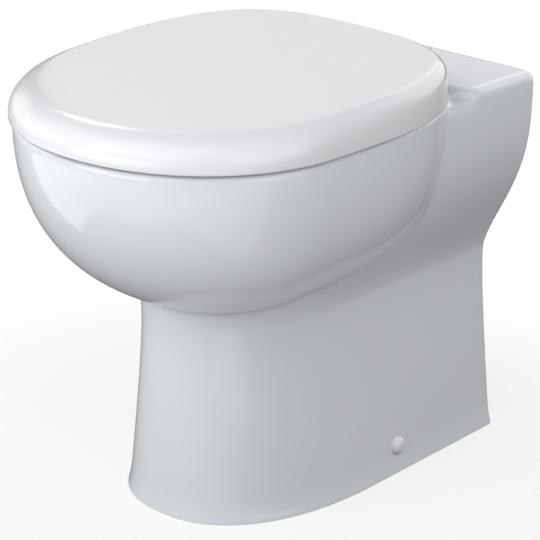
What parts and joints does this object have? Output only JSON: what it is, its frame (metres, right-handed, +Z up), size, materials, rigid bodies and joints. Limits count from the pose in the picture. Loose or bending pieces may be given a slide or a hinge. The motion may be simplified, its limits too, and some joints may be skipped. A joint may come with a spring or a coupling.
{
  "type": "back to wall toilet",
  "caption": "Floor-standing back to wall toilet: rounded china pan with a hidden trap, wrap-over lid and seat ring on goose-neck hinges, and covered side fixings.",
  "frame": {"origin": "on the floor, midway between the front of the lid and the wall face, on the centre line", "axes": "+Z up from the floor, +Y towards the wall, so the front faces -Y, and X is symmetric"},
  "size_m": [0.371, 0.508, 0.448],
  "materials": {
    "china": "gloss",
    "seat_plastic": "gloss",
    "buffer_rubber": "matte",
    "dark_rubber": "matte",
    "hinge_metal": "polished",
    "steel": "satin",
    "fitting_plastic": "matte",
    "bracket_plastic": "matte",
    "cap_plastic": "gloss"
  },
  "bodies": {
    "pan": {"pan": "china", "hinge_bracket_left": "hinge_metal", "hinge_bracket_right": "hinge_metal", "hinge_pin_left": "hinge_metal", "hinge_pin_right": "hinge_metal", "hinge_gasket_left": "dark_rubber", "hinge_gasket_right": "dark_rubber", "hinge_stud_left": "steel", "hinge_stud_right": "steel", "cone_bush_left": "fitting_plastic", "cone_bush_right": "fitting_plastic", "hinge_washer_left": "steel", "hinge_washer_right": "steel", "wing_nut_left": "fitting_plastic", "wing_nut_right": "fitting_plastic", "floor_bracket_left": "bracket_plastic", "floor_bracket_right": "bracket_plastic", "bracket_nut_left": "fitting_plastic", "bracket_nut_right": "fitting_plastic", "screw_sleeve_left": "fitting_plastic", "screw_sleeve_right": "fitting_plastic", "side_screw_left": "steel", "side_screw_right": "steel", "side_cap_left": "cap_plastic", "side_cap_right": "cap_plastic"},
    "seat": {"seat": "seat_plastic", "seat_buffer_front_left": "buffer_rubber", "seat_buffer_front_right": "buffer_rubber", "seat_buffer_rear_left": "buffer_rubber", "seat_buffer_rear_right": "buffer_rubber", "seat_bush_left": "fitting_plastic", "seat_bush_right": "fitting_plastic"},
    "lid": {"lid": "seat_plastic", "lid_buffer_front_left": "buffer_rubber", "lid_buffer_front_right": "buffer_rubber", "lid_buffer_rear_left": "buffer_rubber", "lid_buffer_rear_right": "buffer_rubber", "lid_bush_left": "fitting_plastic", "lid_bush_right": "fitting_plastic"}
  },
  "joints": [
    {"name": "seat_hinge", "type": "hinge", "parent": "pan", "child": "seat", "pos_m": [0, 0.141, 0.434], "axis": [-1, 0, 0], "range_deg": [0, 92]},
    {"name": "lid_hinge", "type": "hinge", "parent": "seat", "child": "lid", "pos_m": [0, 0.141, 0.434], "axis": [-1, 0, 0], "range_deg": [0, 94]}
  ]
}
